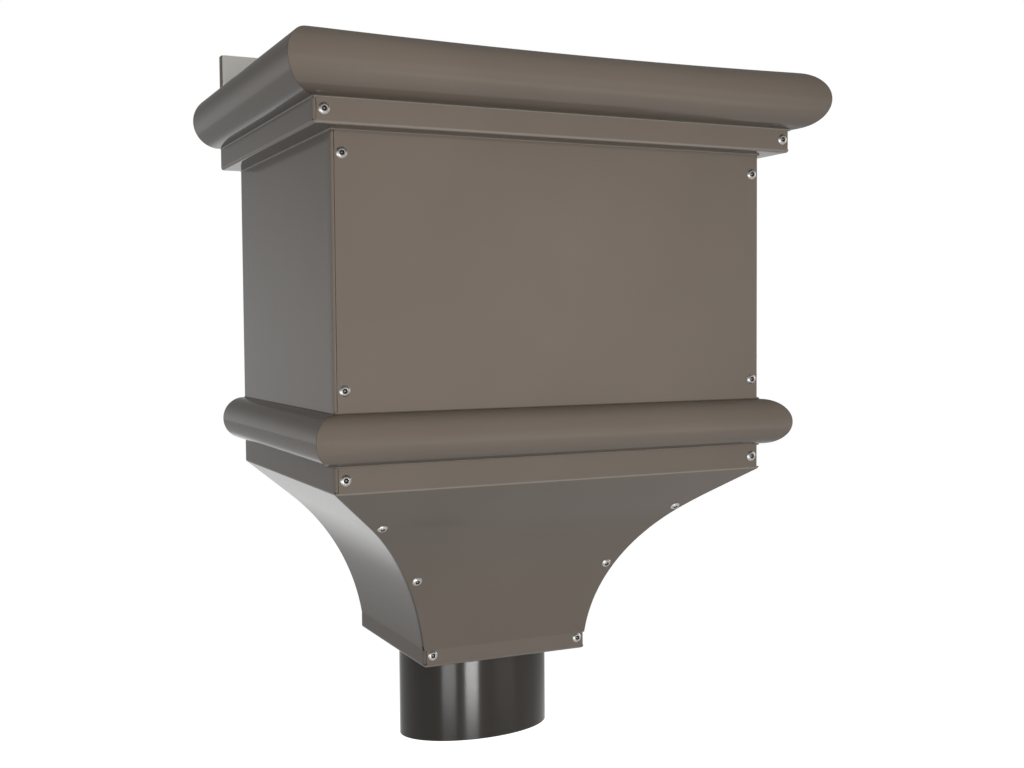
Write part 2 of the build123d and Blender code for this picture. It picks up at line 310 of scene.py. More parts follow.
class Profile:
    """Rows from the rim's hem to the ledge, and the name of the stretch between each two."""

    def __init__(self):
        self.rows = []
        self.cells = []

    def add(self, rows, cells):
        if self.rows and math.dist(self.rows[-1][:2], rows[0][:2]) < 0.01:
            rows = rows[1:]
        else:
            cells = ["join", *cells] if self.rows else cells
        self.rows += rows
        self.cells += cells

    def straight(self, start, end, stretch, flat=False):
        length = math.dist(start, end)
        along = ((end[0] - start[0]) / length, (end[1] - start[1]) / length)
        count = max(1, math.ceil(length / row_step))
        stops = [length * k / count for k in range(count + 1)]
        cells = [stretch] * count
        if flat:
            stops = [0, relief, *stops[1:-1], length - relief, length]
            cells = ["relief", *cells, "relief"]
        facing = (-along[1], along[0])
        rows = [Row(start[0] + along[0] * s, start[1] + along[1] * s, *facing) for s in stops]
        self.add(rows, cells)

    def curved(self, centre, radius, start, end, stretch, steps):
        """An arc between two angles in degrees. Clockwise arcs bulge outwards, the others are hollow."""
        side = 1 if end < start else -1
        rows = []
        for k in range(steps + 1):
            angle = math.radians(start + (end - start) * k / steps)
            c, s = math.cos(angle), math.sin(angle)
            rows.append(Row(centre[0] + radius * c, centre[1] + radius * s, side * c, side * s))
        self.add(rows, [stretch] * steps)

    def folded(self, points, radii, stretches, flats=()):
        """A polyline with a fold of the given radius at each inner corner."""
        start = points[0]
        corners = zip(points, points[1:], points[2:], radii, stretches)
        for before, corner, after, radius, stretch in corners:
            a = Vector(corner).to_2d() - Vector(before).to_2d()
            b = Vector(after).to_2d() - Vector(corner).to_2d()
            a.normalize()
            b.normalize()
            turn = math.atan2(a.x * b.y - a.y * b.x, a.dot(b))
            trim = radius * math.tan(abs(turn) / 2)
            entry = Vector(corner) - a * trim
            side = math.copysign(1, turn)
            centre = entry + side * radius * Vector((-a.y, a.x))
            self.straight(start, tuple(entry), stretch, stretch in flats)
            first = math.degrees(math.atan2(entry.y - centre.y, entry.x - centre.x))
            self.curved(tuple(centre), radius, first, first + math.degrees(turn), "fold", fold_steps)
            start = tuple(Vector(corner) + b * trim)
        self.straight(start, points[-1], stretches[-1], stretches[-1] in flats)


# %% The funnel's slope and hollow
Funnel = namedtuple("Funnel", "slope straight")
front_funnel = Funnel(39.5, 40.5)  # degrees below level, and length before the hollow
side_funnels = {-1: front_funnel, 1: Funnel(33.5, 29.0)}
flat_stretches = ("fillet", "body", "band", "collar")


def slope_end(funnel):
    angle = math.radians(funnel.slope)
    return (-funnel.straight * math.cos(angle), z_funnel - funnel.straight * math.sin(angle))


def hollow(funnel):
    """Centre, radius and end angles of the arc from the slope to the collar."""
    start = Vector(slope_end(funnel))
    angle = math.radians(funnel.slope)
    away = Vector((-math.sin(angle), math.cos(angle))) * -1  # from the face towards the arc's centre
    chord = Vector((-inset, z_collar)) - start
    radius = chord.length_squared / (2 * chord.dot(away))
    centre = start + away * radius
    first = math.degrees(math.atan2(start.y - centre.y, start.x - centre.x))
    last = math.degrees(math.atan2(z_collar - centre.y, -inset - centre.x))
    return centre, radius, first, last + (360 if last < first else 0)


def funnel_out(funnel, z):
    """q of the funnel's face at a height."""
    end = slope_end(funnel)
    if z >= end[1]:
        return (z - z_funnel) / math.tan(math.radians(funnel.slope))
    centre, radius, _, _ = hollow(funnel)
    return centre.x - math.sqrt(max(radius**2 - (z - centre.y) ** 2, 0))


def sheet_profile(funnel):
    """The whole profile of one sheet."""
    profile = Profile()
    hem = cornice_out - rim_return
    notch = fillet_out + fit_gap
    profile.folded([(hem, z_rim - rim_hem), (hem, z_rim), (notch, z_rim)], [fold], ["hem", "rim"])
    profile.straight((notch, z_rim), (cornice_out, z_rim), "rim_edge")
    profile.curved((cornice_out, z_rim - cornice_radius), cornice_radius, 90, -90, "cornice", roll_steps)
    profile.folded(
        [
            (cornice_out, z_cornice_foot),
            (fillet_out, z_cornice_foot),
            (fillet_out, z_soffit),
            (0, z_soffit),
            (0, z_waist),
            (waist_out, z_waist),
        ],
        [bend, fold, bend, bend],
        ["foot", "fillet", "soffit", "body", "step"],
        flat_stretches,
    )
    profile.curved((waist_out, z_waist - waist_radius), waist_radius, 90, -90, "waist", roll_steps)
    profile.folded(
        [(waist_out, z_band), (0, z_band), (0, z_funnel), slope_end(funnel)],
        [bend, fold],
        ["step", "band", "funnel"],
        (*flat_stretches, "funnel"),
    )
    profile.cells[-1] = "funnel"
    centre, radius, first, last = hollow(funnel)
    profile.curved(tuple(centre), radius, first, last, "funnel", hollow_steps)
    profile.cells[-1] = "relief"
    profile.folded(
        [(-inset, z_collar), (-inset, z_base), (-inset - ledge, z_base)],
        [fold],
        ["collar", "ledge"],
        flat_stretches,
    )
    return profile


front_profile = sheet_profile(front_funnel)
print(f"profile of {len(front_profile.rows)} rows, hollow radius {hollow(front_funnel)[1]:.1f} mm")

# %% [markdown]
# ## Sheets as two skins
# A sheet is built as a grid with an outer and an inner skin. Cells may be missing, as where a tab is cut
# away from a mitre, and wherever a cell has no neighbour the two skins are joined by a strip: that strip
# is the sheared edge. So paint, back coat and dark edge each get their own faces, and the mesh is closed.

# %% Mesh of a sheet
smooth_angle = math.radians(32)
weld = 0.002  # mm


def finish_mesh(mesh_maker, name, materials):
    """Merges doubles, turns faces outwards and writes a smooth-shaded object at the origin."""
    bmesh.ops.remove_doubles(mesh_maker, verts=mesh_maker.verts, dist=weld * MM)
    bmesh.ops.recalc_face_normals(mesh_maker, faces=mesh_maker.faces)
    mesh = bpy.data.meshes.new(name)
    mesh_maker.to_mesh(mesh)
    mesh_maker.free()
    for material in materials:
        mesh.materials.append(material)
    mesh.shade_smooth()
    mesh.set_sharp_from_angle(angle=smooth_angle)
    piece = bpy.data.objects.new(name, mesh)
    bpy.context.scene.collection.objects.link(piece)
    return piece


groove_shade_reach = 4.5  # how far the painted shade of a groove spreads along the profile


def fold_marks(profile):
    """For each row, how far a fold is painted light, as worn paint and a painted highlight, and how far a
    groove is painted dark as shade, both from 0 to 1.
    """
    rows, cells = profile.rows, profile.cells
    fold_lightening = [0.0] * len(rows)
    along = [0.0]
    run = 0
    for i, cell in enumerate(cells):
        along.append(along[-1] + math.dist(rows[i][:2], rows[i + 1][:2]))
        run = (run + 1) % fold_steps if cell == "fold" else 0
        fold_lightening[i + 1] = math.sin(math.pi * run / fold_steps)
        if cell == "step" and cells[i - 1] == "fold":  # down in the groove, where the fold gets neither wear nor painted highlight
            fold_lightening[i - fold_steps:i + 1] = [0.0] * (fold_steps + 1)
    # The grooves are darkened as painted shade, fading with distance along the profile; flat stretches are
    # left clear.
    hidden = [i for i, cell in enumerate(cells) if cell in ("foot", "step")]
    grooves = [along[i + end] for i in hidden for end in (0, 1)]
    groove_shade = []
    for i, place in enumerate(along):
        flat = any(cell in (*flat_stretches, "relief") for cell in cells[max(i - 1, 0):i + 1])
        near = min(abs(place - groove) for groove in grooves)
        groove_shade.append(0.0 if flat else math.exp(-near / groove_shade_reach))
    return fold_lightening, groove_shade


def sheet_piece(name, profile, outer, inner, present):
    """A closed sheet from two grids of points and the cells that are there."""
    maker = bmesh.new()
    fold_lightening, groove_shade = fold_marks(profile)
    # Each point carries how far its fold is lightened and how far its groove is painted dark as shade.
    fold_lightening_layer = maker.verts.layers.float.new("fold_wear_and_highlight")
    groove_shade_layer = maker.verts.layers.float.new("painted_groove_shade")
    points = {}
    rows, columns = len(outer), len(outer[0])

    def point(skin, i, j):
        if (skin, i, j) not in points:
            points[skin, i, j] = maker.verts.new(Vector((outer, inner)[skin][i][j]) * MM)
            points[skin, i, j][fold_lightening_layer] = fold_lightening[i]
            points[skin, i, j][groove_shade_layer] = groove_shade[i]
        return points[skin, i, j]

    def there(i, j):
        return 0 <= i < rows - 1 and 0 <= j < columns - 1 and present(i, j)

    for i in range(rows - 1):
        for j in range(columns - 1):
            if not there(i, j):
                continue
            corners = [(i, j), (i, j + 1), (i + 1, j + 1), (i + 1, j)]
            beyond = [(i - 1, j), (i, j + 1), (i + 1, j), (i, j - 1)]
            maker.faces.new([point(0, *corner) for corner in corners]).material_index = 0
            maker.faces.new([point(1, *corner) for corner in reversed(corners)]).material_index = 1
            for a, b, neighbour in zip(corners, corners[1:] + corners[:1], beyond):
                if not there(*neighbour):
                    edge = [point(0, *b), point(0, *a), point(1, *a), point(1, *b)]
                    maker.faces.new(edge).material_index = 2
    return finish_mesh(maker, name, (paint, back_coat, edge_paint))


def row_kind(profile, i):
    """Whether a row ends in a tab, a funnel hip or a mitre."""
    around = profile.cells[max(i - 1, 0):i + 1]
    if any(cell in flat_stretches for cell in around):
        return "tab"
    return "hip" if "funnel" in around else "mitre"


def back_skin(row):
    return row.q - sheet * row.out_q, row.z - sheet * row.out_z


# %% [markdown]
# ## The front sheet
# The front runs right across. At the rolls and folds it is mitred, on the flats it stops just short of
# the corner and shows its edge over the side's tab, and down the funnel it laps over both hips.
# The long cornice hangs a little in the middle, as a thin rolled edge does.

# %% Front sheet
front_edge_set = 1.6  # from the corner to the front's cut edge, on the flats
front_columns = 56
rim_sag = 2.0


def rim_dip(x, z):
    """Height lost by the front cornice, most at mid-length and at the crown."""
    reach = max(0.0, (z - z_rim) / cornice_radius + 1.0)
    return rim_sag * max(0.0, 1 - (x / (half_width + cornice_out)) ** 2) * min(reach, 1.0) ** 1.5


def corner_ease(row):
    """How far the tip of a mitre is rounded in, where a flat folds under."""
    for z, out in ((z_soffit, fillet_out), (z_base, -inset)):
        if abs(row.q - out) < fold + 0.1 and -0.1 < row.z - z < fold + relief + 0.1:
            return 0.3 * fold * max(row.out_q, 0.0)
    return 0.0


def front_row(profile, i):
    row = profile.rows[i]
    ease = corner_ease(row)
    kind = row_kind(profile, i)
    back_q, back_z = back_skin(row)
    skins = []
    for q, z in ((row.q, row.z), (back_q, back_z)):
        ends = {}
        for side, funnel in side_funnels.items():
            end = half_width + (funnel_out(funnel, z) if kind == "hip" else q - seam / 2 - ease)
            start = half_width + (funnel_out(funnel, row.z) if kind == "hip" else row.q) - front_edge_set
            ends[side] = (side * end, side * start)
        first, last = ends[-1][1], ends[1][1]
        across = [first + (last - first) * k / front_columns for k in range(front_columns + 1)]
        line = [ends[-1][0], *across, ends[1][0]]
        points = [(x, y_front - q, z - rim_dip(x, z)) for x in line]
        for end in (0, -1):
            points[end] = (points[end][0], points[end][1] + ease, points[end][2])
        skins.append(points)
    return skins


front_rows = [front_row(front_profile, i) for i in range(len(front_profile.rows))]


def front_present(i, j):
    inner_cell = 0 < j < front_columns + 1
    return inner_cell or front_profile.cells[i] not in flat_stretches


front_skins = zip(*front_rows)
front = sheet_piece("front", front_profile, *front_skins, front_present)
print("front:", len(front.data.polygons), "faces")

# %% [markdown]
# ## The side sheets
# Each side has the same profile, run back to the wall. At a flat it turns round the corner into a tab
# that lies behind the front, where the rivets hold it. Down the hip the tab follows the hollow.

# %% Side sheets
tab_width = 12.0
corner_steps = 6
corner_column = corner_steps + 1
side_columns = 36
hip_radius = 2.4
notch_y = plate_low.y - fit_gap  # the rim is cut away here for the upstand


def behind_front(z):
    """y of the front's back skin in the funnel at a height, and its thickness measured level."""
    funnel = front_funnel
    end = slope_end(funnel)
    if z >= end[1]:
        out_q = math.sin(math.radians(funnel.slope))
    else:
        centre, radius, _, _ = hollow(funnel)
        out_q = math.sqrt(max(1 - ((z - centre.y) / radius) ** 2, 0.01))
    return y_front - funnel_out(funnel, z) + (sheet + fit_gap) / out_q, sheet / out_q


def side_row(profile, i):
    """Points of both skins of the right-hand side, from the tab's edge to the wall."""
    row = profile.rows[i]
    kind = row_kind(profile, i)
    back_q, back_z = back_skin(row)
    x = half_width + row.q
    radius, thick, y_face, through = fold, sheet, y_front - row.q + sheet + tab_gap, sheet
    if kind == "hip":
        y_face, through = behind_front(row.z)
        radius, thick = hip_radius, sheet / max(row.out_q, 0.3)
    outer, inner = [], []
    if kind == "mitre":
        ease = corner_ease(row)
        back_x = half_width + back_q
        outer = [(x - ease, y_front - row.q + seam / 2 + ease, row.z)] * corner_column
        inner = [(back_x - ease, y_front - back_q + seam / 2 + ease, back_z)] * corner_column
    else:
        back_z = row.z
        back_x = x - thick
        outer.append((x - tab_width, y_face, row.z))
        inner.append((x - tab_width, y_face + through, row.z))
        for k in range(corner_steps):
            angle = math.pi / 2 * k / corner_steps
            s, c = math.sin(angle), math.cos(angle)
            outer.append((x - radius + radius * s, y_face + radius - radius * c, row.z))
            inner.append((
                x - radius + (radius - thick) * s, y_face + radius - (radius - through) * c, row.z,
            ))
    y_start = y_face + radius
    stops = [y_start + (notch_y - y_start) * k / side_columns for k in range(side_columns + 1)]
    for y in (*stops, y_wall):
        outer.append((x, y, row.z))
        inner.append((back_x, y, back_z))
    return outer, inner


def side_sheet(name, side):
    profile = sheet_profile(side_funnels[side])
    rows = [side_row(profile, i) for i in range(len(profile.rows))]
    skins = [[[(side * x, y, z) for x, y, z in row[skin]] for row in rows] for skin in (0, 1)]
    last = len(skins[0][0]) - 2

    def present(i, j):
        cell = profile.cells[i]
        in_rim_fold = cell == "fold" and i < fold_steps + 4
        if j == last and (cell in ("hem", "rim") or in_rim_fold):
            return False
        if j >= corner_column:
            return True
        if cell in flat_stretches or cell == "funnel":
            return True
        return cell != "relief" and j == corner_column - 1

    return sheet_piece(name, profile, *skins, present)


left_side = side_sheet("left_side", -1)
right_side = side_sheet("right_side", 1)
print("sides:", len(left_side.data.polygons), "and", len(right_side.data.polygons), "faces")

# %% [markdown]
# ## Back plate and outlet plate
# These two are flat sheet with turned edges and round holes, and the CAD already has that shape.
# A copy of each CAD mesh is merged and shaded flat, and its faces take their coat from the way they
# look: the side that faces into the hopper is pale.

# %% Plates from the CAD
def plate_piece(name, node, pale_way):
    """A merged copy of a CAD node, with the pale coat on the faces that look along pale_way."""
    maker = bmesh.new()
    maker.from_mesh(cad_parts[node].data)
    bmesh.ops.remove_doubles(maker, verts=maker.verts, dist=weld * MM)
    for face in maker.faces:
        face.material_index = 1 if face.normal.dot(pale_way) > 0.7 else 0
    plate = finish_mesh(maker, name, (paint, back_coat))
    plate.data.shade_flat()  # flat stock, and the CAD's long triangles would shade unevenly
    return plate


back_plate = plate_piece("back_plate_sheet", "back_plate", Vector((0, -1, 0)))
outlet_plate = plate_piece("outlet_plate_sheet", "outlet_plate", Vector((0, 0, 1)))
print("plates:", len(back_plate.data.polygons), "and", len(outlet_plate.data.polygons), "faces")

# %% [markdown]
# ## The outlet spigot
# The spigot is a short tube that slips into the downpipe. Its top is flared out over the outlet plate
# and its mouth is sawn off at a slant. A lathe makes the wall, and the slant moves its lower rings.

# %% Spigot
spigot_wall = 1.0
spigot_flare = 2.0
spigot_turns = 160
mouth_slant = math.tan(math.radians(7.6))
mouth_turn = math.radians(15)  # the high side, from the front towards the right
mouth_way = Vector((math.sin(mouth_turn), -math.cos(mouth_turn), 0))
edge_round = 0.25
even_ring = 3.0  # rings this far from a fold or an edge keep the shading even
flare_start = 0.4  # above the base, on the inside


def turned(outline, turns, place=lambda p: p):
    """A closed lathe of an outline of (radius, height) points, as a mesh maker."""
    maker = bmesh.new()
    rings = []
    for k in range(turns):
        angle = 2 * math.pi * k / turns
        c, s = math.cos(angle), math.sin(angle)
        rings.append([maker.verts.new(place(Vector((r * c, r * s, h))) * MM) for r, h in outline])
    for ring, after in zip(rings, rings[1:] + rings[:1]):
        for a in range(len(outline)):
            b = (a + 1) % len(outline)
            maker.faces.new((ring[a], after[a], after[b], ring[b]))
    return maker


z_flange = spigot_high.z
z_mouth = round(spigot_low.z + spigot_radius * mouth_slant, 1)  # on the axis


def spigot_place(point):
    """Slants the mouth and sets the tube on its axis."""
    share = max(0.0, min(1.0, (z_base - point.z) / (z_base - z_mouth)))
    lift = mouth_slant * point.dot(mouth_way) * share
    return Vector((point.x, point.y + y_spigot, point.z + lift))


outer_r = spigot_radius
inner_r = spigot_radius - spigot_wall
flange_r = spigot_radius + spigot_flange
spigot_outline = [
    (flange_r, z_flange),
    (flange_r, z_flange - spigot_wall),
    (outer_r + spigot_flare, z_flange - spigot_wall),
    (outer_r, z_base),
    (outer_r, z_base - even_ring),
    (outer_r, z_mouth + even_ring),
    (outer_r, z_mouth + edge_round),
    (outer_r - edge_round, z_mouth),
    (inner_r + edge_round, z_mouth),
    (inner_r, z_mouth + edge_round),
    (inner_r, z_base - even_ring),
    (inner_r, z_base + flare_start),
    (inner_r + spigot_flare, z_flange),
]
spigot = finish_mesh(turned(spigot_outline, spigot_turns, spigot_place), "spigot", (tube_paint,))
print("spigot:", len(spigot.data.polygons), "faces")

# %% [markdown]
# ## Rivets by Geometry Nodes
# Fourteen blind rivets hold the sheets. Each has a low dome with a hole in it, where the broken pin
# sits, and a bulb behind the tab. The blank is turned once and Geometry Nodes set a copy on every
# seat, square to its surface, turned and tipped a little by a seeded random value.

# %% Seats of the rivets
rivet_edge = 5.8
hip_rivet_edge = 6.5
hip_rivet_runs = (40.0, 93.0)
fillet_rivet_up = 7.9
body_rivet_in = 12.8  # from the body's upper and lower folds
collar_rivet_up = 7.6
flat_rivets = (
    (fillet_out, z_soffit + fillet_rivet_up),
    (0.0, z_soffit - body_rivet_in),
    (0.0, z_waist + body_rivet_in),
    (0.0, (z_band + z_funnel) / 2),
    (-inset, z_base + collar_rivet_up),
)


def funnel_point(run):
    """Place and facing on the front's funnel, a run down from the waist fold."""
    angle = math.radians(front_funnel.slope)
    c, s = math.cos(angle), math.sin(angle)
    if run <= front_funnel.straight:
        return -run * c, z_funnel - run * s, s, -c
    centre, radius, first, _ = hollow(front_funnel)
    turn = math.radians(first) + (run - front_funnel.straight) / radius
    c, s = math.cos(turn), math.sin(turn)
    return centre.x + radius * c, centre.y + radius * s, -c, -s


seats = []
for side, funnel in side_funnels.items():
    for q, z in flat_rivets:
        seats.append(((side * (half_width + q - rivet_edge), y_front - q, z), (0, -1, 0)))
    for run in hip_rivet_runs:
        q, z, out_q, out_z = funnel_point(run)
        x = side * (half_width + funnel_out(funnel, z) - hip_rivet_edge)
        seats.append(((x, y_front - q, z), (0, -out_q, out_z)))

seat_mesh = bpy.data.meshes.new("rivet_seats")
seat_mesh.from_pydata([Vector(place) * MM for place, _ in seats], [], [])
facing = seat_mesh.attributes.new("seat_facing", "FLOAT_VECTOR", "POINT")
facing.data.foreach_set("vector", [value for _, way in seats for value in way])
print(len(seats), "rivet seats")

# %% Blanks of the rivet and its pin
head_radius = 3.2
head_height = 1.1
crown_radius = 1.8
bore_radius = 1.35
stub_radius = 0.55
shank_radius = 1.6
grip = 2 * sheet + tab_gap
bulb_radius = 2.3
tail_length = 4.2
tail_end = -grip - tail_length
lip_set, lip_height = 0.12, 0.22  # where the dome starts, in from the head's edge and up
dome_steps = 8
rivet_turns = 28


def rivet_outline():
    """Bore, tail, shank, under side and dome, in order round the section."""
    lip_radius = head_radius - lip_set
    dome = []
    for k in range(dome_steps + 1):
        share = k / dome_steps
        rise = math.sin(share * math.pi / 2) ** 0.9
        r = lip_radius - (lip_radius - crown_radius) * share
        dome.append((r, lip_height + (head_height - lip_height) * rise))
    return [
        (bore_radius, head_height - 0.25),
        (bore_radius, tail_end),
        (shank_radius, tail_end),
        (bulb_radius, -grip - tail_length * 0.55),
        (bulb_radius * 0.95, -grip - 0.3),
        (shank_radius, -grip),
        (shank_radius, 0.0),
        (head_radius - 0.1, 0.0),
        (head_radius, lip_set),
        *dome,
        (crown_radius - 0.2, head_height),
        (bore_radius + 0.08, head_height - 0.06),
    ]


pole = 0.01  # the hair-thin hole on the axis of a turned blank
pin_radius = bore_radius - 0.12
pin_head = shank_radius - 0.1
pin_outline = [
    (pole, head_height - 0.3),
    (stub_radius - 0.15, head_height - 0.34),
    (stub_radius, head_height - 0.48),
    (stub_radius, head_height - 1.5),
    (pin_radius, head_height - 1.7),
    (pin_radius, tail_end),
    (pin_head, tail_end - 0.3),
    (pin_head, tail_end - 1.2),
    (pin_head / 2 + 0.05, tail_end - 1.9),
    (pole, tail_end - 2.0),
]
# A thin dark cup lining the bore round the pin, painted shade for the hollow.
bore_shade_outline = [
    (stub_radius - 0.1, head_height - 1.05),
    (pin_radius, head_height - 0.95),
    (bore_radius - 0.05, head_height - 0.3),
    (bore_radius - 0.01, head_height - 0.28),
    (bore_radius - 0.01, head_height - 1.4),
    (stub_radius - 0.1, head_height - 1.4),
]
rivet_blank = finish_mesh(turned(rivet_outline(), rivet_turns), "rivet_blank", (rivet_metal,))
pin_blank = finish_mesh(turned(pin_outline, rivet_turns), "pin_blank", (pin_metal,))
grime_blank = finish_mesh(turned(bore_shade_outline, rivet_turns), "grime_blank", (bore_shade,))
blanks = (rivet_blank, pin_blank, grime_blank)
print("blanks:", ", ".join(f"{blank.name} {len(blank.data.polygons)} faces" for blank in blanks))

# %% The tree that sets rivets
def rivet_tree():
    """Copies of a blank on seat points, square to each seat."""
    tree = bpy.data.node_groups.new("set_rivets", "GeometryNodeTree")
    tree.is_modifier = True
    face = tree.interface
    face.new_socket("Seats", in_out="INPUT", socket_type="NodeSocketGeometry")
    face.new_socket("Blank", in_out="INPUT", socket_type="NodeSocketObject")
    face.new_socket("Tip", in_out="INPUT", socket_type="NodeSocketFloat")
    face.new_socket("Seed", in_out="INPUT", socket_type="NodeSocketInt")
    face.new_socket("Finish", in_out="INPUT", socket_type="NodeSocketMaterial")
    face.new_socket("Rivets", in_out="OUTPUT", socket_type="NodeSocketGeometry")
    nodes, links = tree.nodes, tree.links
    entry = nodes.new("NodeGroupInput")
    leave = nodes.new("NodeGroupOutput")

    facing = nodes.new("GeometryNodeInputNamedAttribute")
    facing.data_type = "FLOAT_VECTOR"
    facing.inputs["Name"].default_value = "seat_facing"
    square = nodes.new("FunctionNodeAlignRotationToVector")
    square.axis = "Z"
    links.new(facing.outputs["Attribute"], square.inputs["Vector"])

    tip_low = nodes.new("ShaderNodeMath")
    tip_low.operation = "MULTIPLY"
    tip_low.inputs[1].default_value = -1.0
    links.new(entry.outputs["Tip"], tip_low.inputs[0])
    least = nodes.new("ShaderNodeCombineXYZ")
    most = nodes.new("ShaderNodeCombineXYZ")
    most.inputs["Z"].default_value = 2 * math.pi
    for axis in ("X", "Y"):
        links.new(tip_low.outputs["Value"], least.inputs[axis])
        links.new(entry.outputs["Tip"], most.inputs[axis])
    chance = nodes.new("FunctionNodeRandomValue")
    chance.data_type = "FLOAT_VECTOR"
    links.new(least.outputs["Vector"], chance.inputs["Min"])
    links.new(most.outputs["Vector"], chance.inputs["Max"])
    links.new(entry.outputs["Seed"], chance.inputs["Seed"])
    loose = nodes.new("FunctionNodeEulerToRotation")
    links.new(chance.outputs["Value"], loose.inputs["Euler"])
    turn = nodes.new("FunctionNodeRotateRotation")
    turn.rotation_space = "LOCAL"
    links.new(square.outputs["Rotation"], turn.inputs["Rotation"])
    links.new(loose.outputs["Rotation"], turn.inputs["Rotate By"])

    blank = nodes.new("GeometryNodeObjectInfo")
    links.new(entry.outputs["Blank"], blank.inputs["Object"])
    copies = nodes.new("GeometryNodeInstanceOnPoints")
    links.new(entry.outputs["Seats"], copies.inputs["Points"])
    links.new(blank.outputs["Geometry"], copies.inputs["Instance"])
    links.new(turn.outputs["Rotation"], copies.inputs["Rotation"])
    real = nodes.new("GeometryNodeRealizeInstances")
    links.new(copies.outputs["Instances"], real.inputs["Geometry"])
    coat = nodes.new("GeometryNodeSetMaterial")
    links.new(real.outputs["Geometry"], coat.inputs["Geometry"])
    links.new(entry.outputs["Finish"], coat.inputs["Material"])
    links.new(coat.outputs["Geometry"], leave.inputs["Rivets"])
    return tree


def grown(name, tree, start_mesh, **values):
    """A plain mesh object from a tree run on a start mesh, with the tree's inputs given by name."""
    holder = bpy.data.objects.new(name, start_mesh)
    bpy.context.scene.collection.objects.link(holder)
    modifier = holder.modifiers.new(name, "NODES")
    modifier.node_group = tree
    for item in tree.interface.items_tree:
        if item.in_out == "INPUT" and item.name in values:
            modifier[item.identifier] = values[item.name]
    graph = bpy.context.evaluated_depsgraph_get()
    made = bpy.data.meshes.new_from_object(holder.evaluated_get(graph))
    holder.modifiers.clear()
    holder.data = made
    made.set_sharp_from_angle(angle=smooth_angle)
    return holder


set_rivets = rivet_tree()
rivet_tip = math.radians(1.2)
rivet_seed = 7


def set_all(name, blank, finish):
    """One blank on every seat. The same seed tips rivet, pin and bore alike."""
    values = {"Blank": blank, "Tip": rivet_tip, "Seed": rivet_seed, "Finish": finish}
    return grown(name, set_rivets, seat_mesh, **values)


rivets = set_all("rivet_set", rivet_blank, rivet_metal)
pins = set_all("rivet_pins", pin_blank, pin_metal)
# The dark lining of each bore is painted shade.
bores = set_all("rivet_bores", grime_blank, bore_shade)
for blank in blanks:
    bpy.data.objects.remove(blank)
print("rivets:", len(rivets.data.polygons), "faces, pins:", len(pins.data.polygons))

# %% [markdown]
# ## Onto the frame
# There are no joints, so every piece rides on the one body, and each stands for its CAD node.

# %% Ride on the body and replace the CAD node
for piece, node, slot in (
    (front, "front_sheet", "bronze_paint"),
    (left_side, "left_side_sheet", "bronze_paint"),
    (right_side, "right_side_sheet", "bronze_paint"),
    (back_plate, "back_plate", "bronze_paint"),
    (outlet_plate, "outlet_plate", "bronze_paint"),
    (spigot, "outlet_spigot", "bronze_paint"),
    (rivets, "rivets", "rivet_aluminium"),
    (pins, None, "rivet_aluminium"),
    (bores, None, "rivet_aluminium"),
):
    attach(piece, "root")
    if node:
        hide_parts(node)

# %% [markdown]
# ## Studio
# A hopper hangs free of the ground, so the floor lies well below it. A soft box near the camera lights the
# front, a low card fills the funnel, and boxes behind and to the right keep the other sides readable.
# The two boxes that face flat sheet are kept out of reflections, or they would show as white patches.
# Two strips do the opposite: they give only gloss, to the tube and the rivets alone. Far behind, part of
# the floor is bright for the paint to mirror, and the room overhead is dim, so the rolls stay dark on top.
# The camera sees white, which costs no extra light on the paint.

# %% Floor
floor_z = -0.95
floor_half = 8.0
floor_shade = 0.36
floor_mesh = bpy.data.meshes.new("floor")
floor_mesh.from_pydata(
    [(x * floor_half, y * floor_half, floor_z) for x, y in ((-1, -1), (1, -1), (1, 1), (-1, 1))],
    [], [(0, 1, 2, 3)],
)
floor = bpy.data.objects.new("floor", floor_mesh)
bpy.context.scene.collection.objects.link(floor)
floor_finish = bpy.data.materials.new("pale_floor")
floor_finish.use_nodes = True
tree = floor_finish.node_tree
shader = tree.nodes["Principled BSDF"]
shader.inputs["Base Color"].default_value = (floor_shade, floor_shade, floor_shade, 1)
shader.inputs["Roughness"].default_value = 0.9


def smooth_step(value, low, high, least=0.0, most=1.0):
    """A floor value eased from least to most between two levels."""
    node = tree.nodes.new("ShaderNodeMapRange")
    node.interpolation_type = "SMOOTHSTEP"
    for label, number in (("From Min", low), ("From Max", high), ("To Min", least), ("To Max", most)):
        node.inputs[label].default_value = number
    tree.links.new(value, node.inputs["Value"])
    return node.outputs["Result"]


def floor_math(kind, a, b):
    node = tree.nodes.new("ShaderNodeMath")
    node.operation = kind
    tree.links.new(a, node.inputs[0])
    tree.links.new(b, node.inputs[1])
    return node.outputs["Value"]


def floor_vector(kind, a, b=(0, 0, 0)):
    node = tree.nodes.new("ShaderNodeVectorMath")
    node.operation = kind
    tree.links.new(a, node.inputs[0])
    node.inputs[1].default_value = b
    return node.outputs


# %% What the floor shows to the camera and to gloss
bright_way = (0.342, 0.940, 0)  # the bright part of the floor lies far behind, a little to the right
bright_edge = (0.90, 0.985)  # cosines at which it starts and is full
bright_level = 0.45
far_start, far_full, far_least = 1.2, 4.0, 0.85  # metres, and the share of light before them
front_way, front_full = (0, -1, 0), 0.8
back_level, front_level = 0.32, 0.42
camera_level = 0.93  # up to white with the floor's own shade on top
path = tree.nodes.new("ShaderNodeLightPath")
place = tree.nodes.new("ShaderNodeTexCoord")
flat = floor_vector("MULTIPLY", place.outputs["Object"], (1, 1, 0))["Vector"]
compass = floor_vector("NORMALIZE", flat)["Vector"]
sector = smooth_step(floor_vector("DOT_PRODUCT", compass, bright_way)["Value"], *bright_edge)
far = smooth_step(floor_vector("LENGTH", flat)["Value"], far_start, far_full, far_least)
towards_front = floor_vector("DOT_PRODUCT", compass, front_way)["Value"]
near = smooth_step(towards_front, 0.0, front_full, back_level, front_level)
